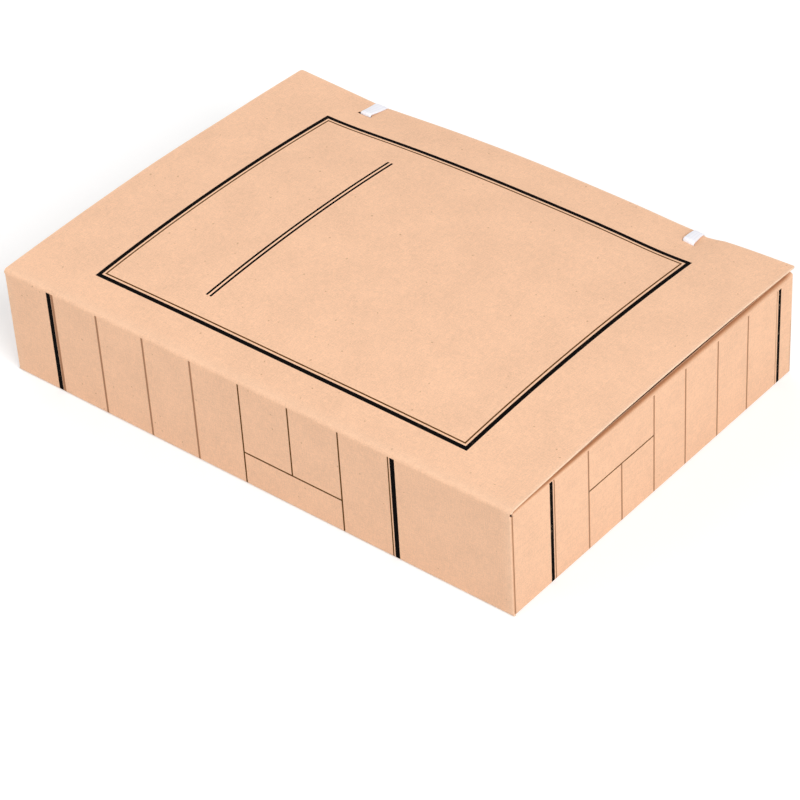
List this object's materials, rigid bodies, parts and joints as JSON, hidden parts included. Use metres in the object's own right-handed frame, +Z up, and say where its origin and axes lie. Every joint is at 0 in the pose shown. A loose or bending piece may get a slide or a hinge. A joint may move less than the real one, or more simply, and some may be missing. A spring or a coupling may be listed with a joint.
{
  "type": "archive box",
  "caption": "Flat kraft-board archive box for papers: a folded tray with double rolled ends and a book-like cover on a creased spine, tied shut by taped pins in loops.",
  "frame": {"origin": "on the table, under the middle of the closed cover, on the underside of the base", "axes": "+X along the spine towards the tail end, -Y towards the spine, +Z up out of the base"},
  "size_m": [0.31, 0.2239, 0.0679],
  "materials": {
    "board": "uncoated kraft board, matt, fine fibres and specks, printed ruling",
    "tape": "white ribbed woven tape",
    "pin_plastic": "white moulded plastic, satin"
  },
  "bodies": {
    "tray": {"base_panel": "board", "spine_panel": "board", "cover_crease": "board", "fore_edge_wall": "board", "head_end_outer": "board", "tail_end_outer": "board", "head_end_roll": "board", "tail_end_roll": "board", "head_end_inner": "board", "tail_end_inner": "board", "head_spine_tab": "board", "tail_spine_tab": "board", "head_fore_tab": "board", "tail_fore_tab": "board", "head_loop": "tape", "tail_loop": "tape"},
    "cover": {"cover_panel": "board", "head_strap": "tape", "tail_strap": "tape"},
    "head_tie": {"head_strap_end": "tape", "head_pin": "pin_plastic"},
    "tail_tie": {"tail_strap_end": "tape", "tail_pin": "pin_plastic"}
  },
  "joints": [
    {"name": "cover_hinge", "type": "hinge", "parent": "tray", "child": "cover", "pos_m": [0, -0.11, 0.061], "axis": [1, 0, 0], "range_deg": [0, 180]},
    {"name": "head_strap_flex", "type": "hinge", "parent": "cover", "child": "head_tie", "pos_m": [-0.1, 0.1104, 0.0568], "axis": [1, 0, 0], "range_deg": [-90, 0]},
    {"name": "tail_strap_flex", "type": "hinge", "parent": "cover", "child": "tail_tie", "pos_m": [0.1, 0.1104, 0.0568], "axis": [1, 0, 0], "range_deg": [-90, 0]}
  ],
  "couplings": [
    {"joint": "head_strap_flex", "follows": "cover_hinge", "ratio": -0.5},
    {"joint": "tail_strap_flex", "follows": "cover_hinge", "ratio": -0.5}
  ]
}
